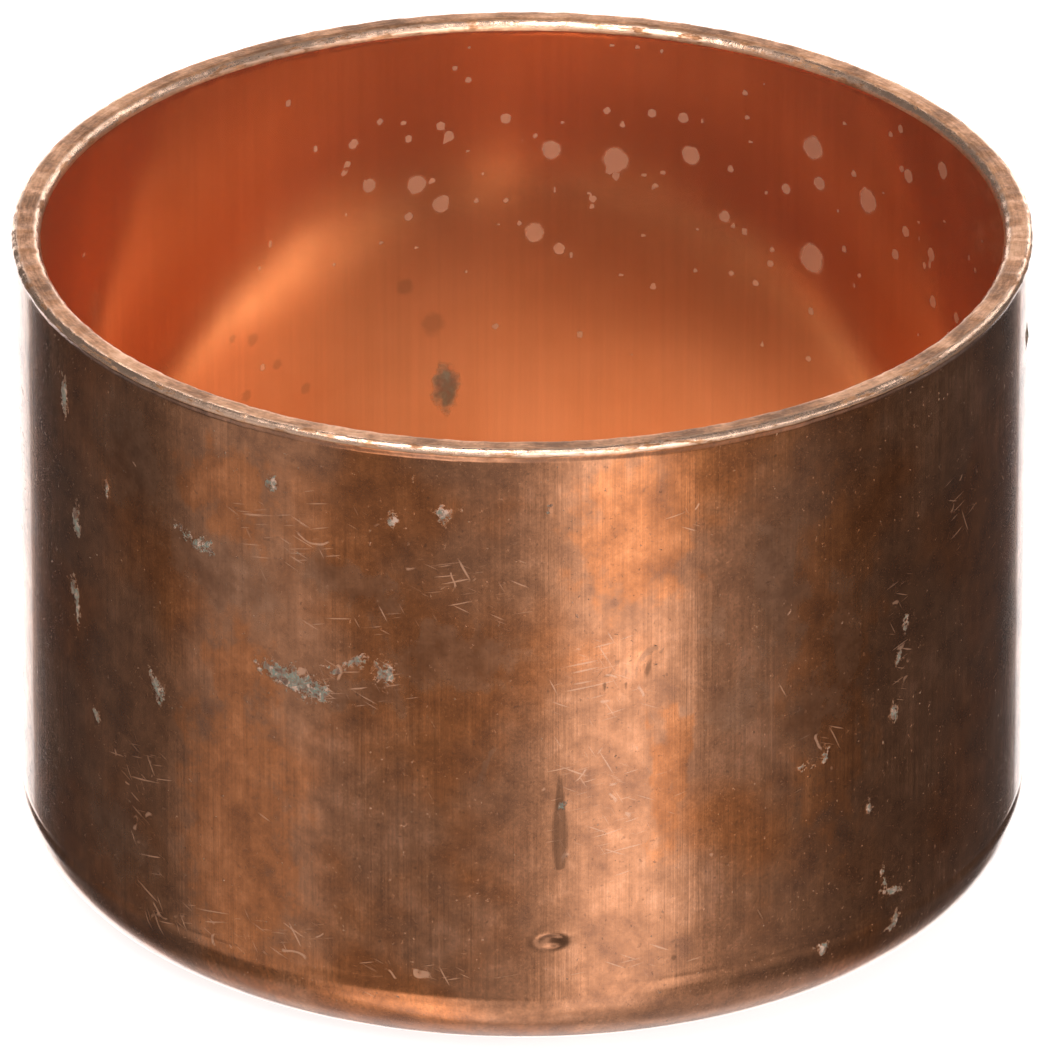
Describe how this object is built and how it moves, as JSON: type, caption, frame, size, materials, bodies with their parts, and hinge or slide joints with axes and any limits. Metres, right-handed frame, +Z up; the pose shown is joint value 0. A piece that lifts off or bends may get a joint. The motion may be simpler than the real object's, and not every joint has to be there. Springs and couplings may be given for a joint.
{
  "type": "tube cap",
  "caption": "Drawn copper solder cap for copper tube: a flat-ended round cup whose open mouth is a plain sweat socket.",
  "frame": {"origin": "centre of the closed end's flat underside, on the surface that the cap stands on", "axes": "+Z up the socket's axis, out of the open mouth; the cap is round, so +X is any radius"},
  "size_m": [0.0574, 0.0574, 0.0385],
  "materials": {
    "copper": "bare drawn copper: brown oxide with green corrosion specks outside, cleaner orange metal inside"
  },
  "bodies": {
    "root": {"cap_body": "copper"}
  },
  "joints": []
}
